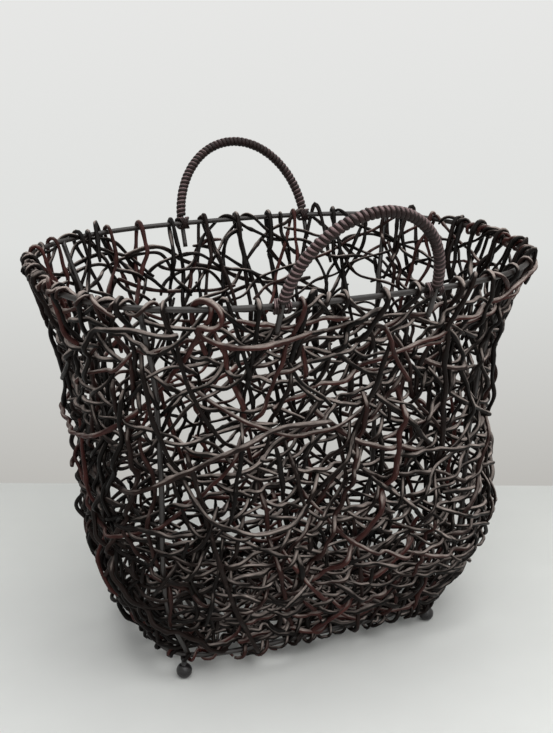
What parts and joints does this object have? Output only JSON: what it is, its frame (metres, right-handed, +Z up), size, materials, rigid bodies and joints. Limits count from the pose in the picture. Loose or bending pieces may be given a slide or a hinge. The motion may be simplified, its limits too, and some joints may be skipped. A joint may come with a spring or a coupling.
{
  "type": "vine basket",
  "caption": "Open oval basket of randomly woven vines on a thin rod frame, with two cane-wrapped arched handles and small ball feet.",
  "frame": {"origin": "on the floor, at the middle of the basket's base", "axes": "+Z up, +X along the long side of the rim, +Y towards the back handle"},
  "size_m": [0.4766, 0.415, 0.4619],
  "materials": {
    "iron": "satin",
    "cane": "satin",
    "vine": "satin"
  },
  "bodies": {
    "root": {"arc_vine_1": "vine", "arc_vine_10": "vine", "arc_vine_11": "vine", "arc_vine_12": "vine", "arc_vine_13": "vine", "arc_vine_14": "vine", "arc_vine_15": "vine", "arc_vine_16": "vine", "arc_vine_17": "vine", "arc_vine_18": "vine", "arc_vine_2": "vine", "arc_vine_3": "vine", "arc_vine_4": "vine", "arc_vine_5": "vine", "arc_vine_6": "vine", "arc_vine_7": "vine", "arc_vine_8": "vine", "arc_vine_9": "vine", "band_vine_1": "vine", "band_vine_10": "vine", "band_vine_11": "vine", "band_vine_12": "vine", "band_vine_2": "vine", "band_vine_3": "vine", "band_vine_4": "vine", "band_vine_5": "vine", "band_vine_6": "vine", "band_vine_7": "vine", "band_vine_8": "vine", "band_vine_9": "vine", "base_ring": "iron", "cradle_vine_1": "vine", "cradle_vine_2": "vine", "cradle_vine_3": "vine", "cradle_vine_4": "vine", "cradle_vine_5": "vine", "cradle_vine_6": "vine", "cradle_vine_7": "vine", "cradle_vine_8": "vine", "cross_rod_1": "iron", "cross_rod_2": "iron", "cross_rod_3": "iron", "foot_left_back": "iron", "foot_left_front": "iron", "foot_right_back": "iron", "foot_right_front": "iron", "handle_cane_back": "cane", "handle_cane_front": "cane", "handle_rod_back": "iron", "handle_rod_front": "iron", "lashing_back_left": "cane", "lashing_back_right": "cane", "lashing_front_left": "cane", "lashing_front_right": "cane", "post_left_back": "iron", "post_left_front": "iron", "post_right_back": "iron", "post_right_front": "iron", "rim_ring": "iron"}
  },
  "joints": []
}
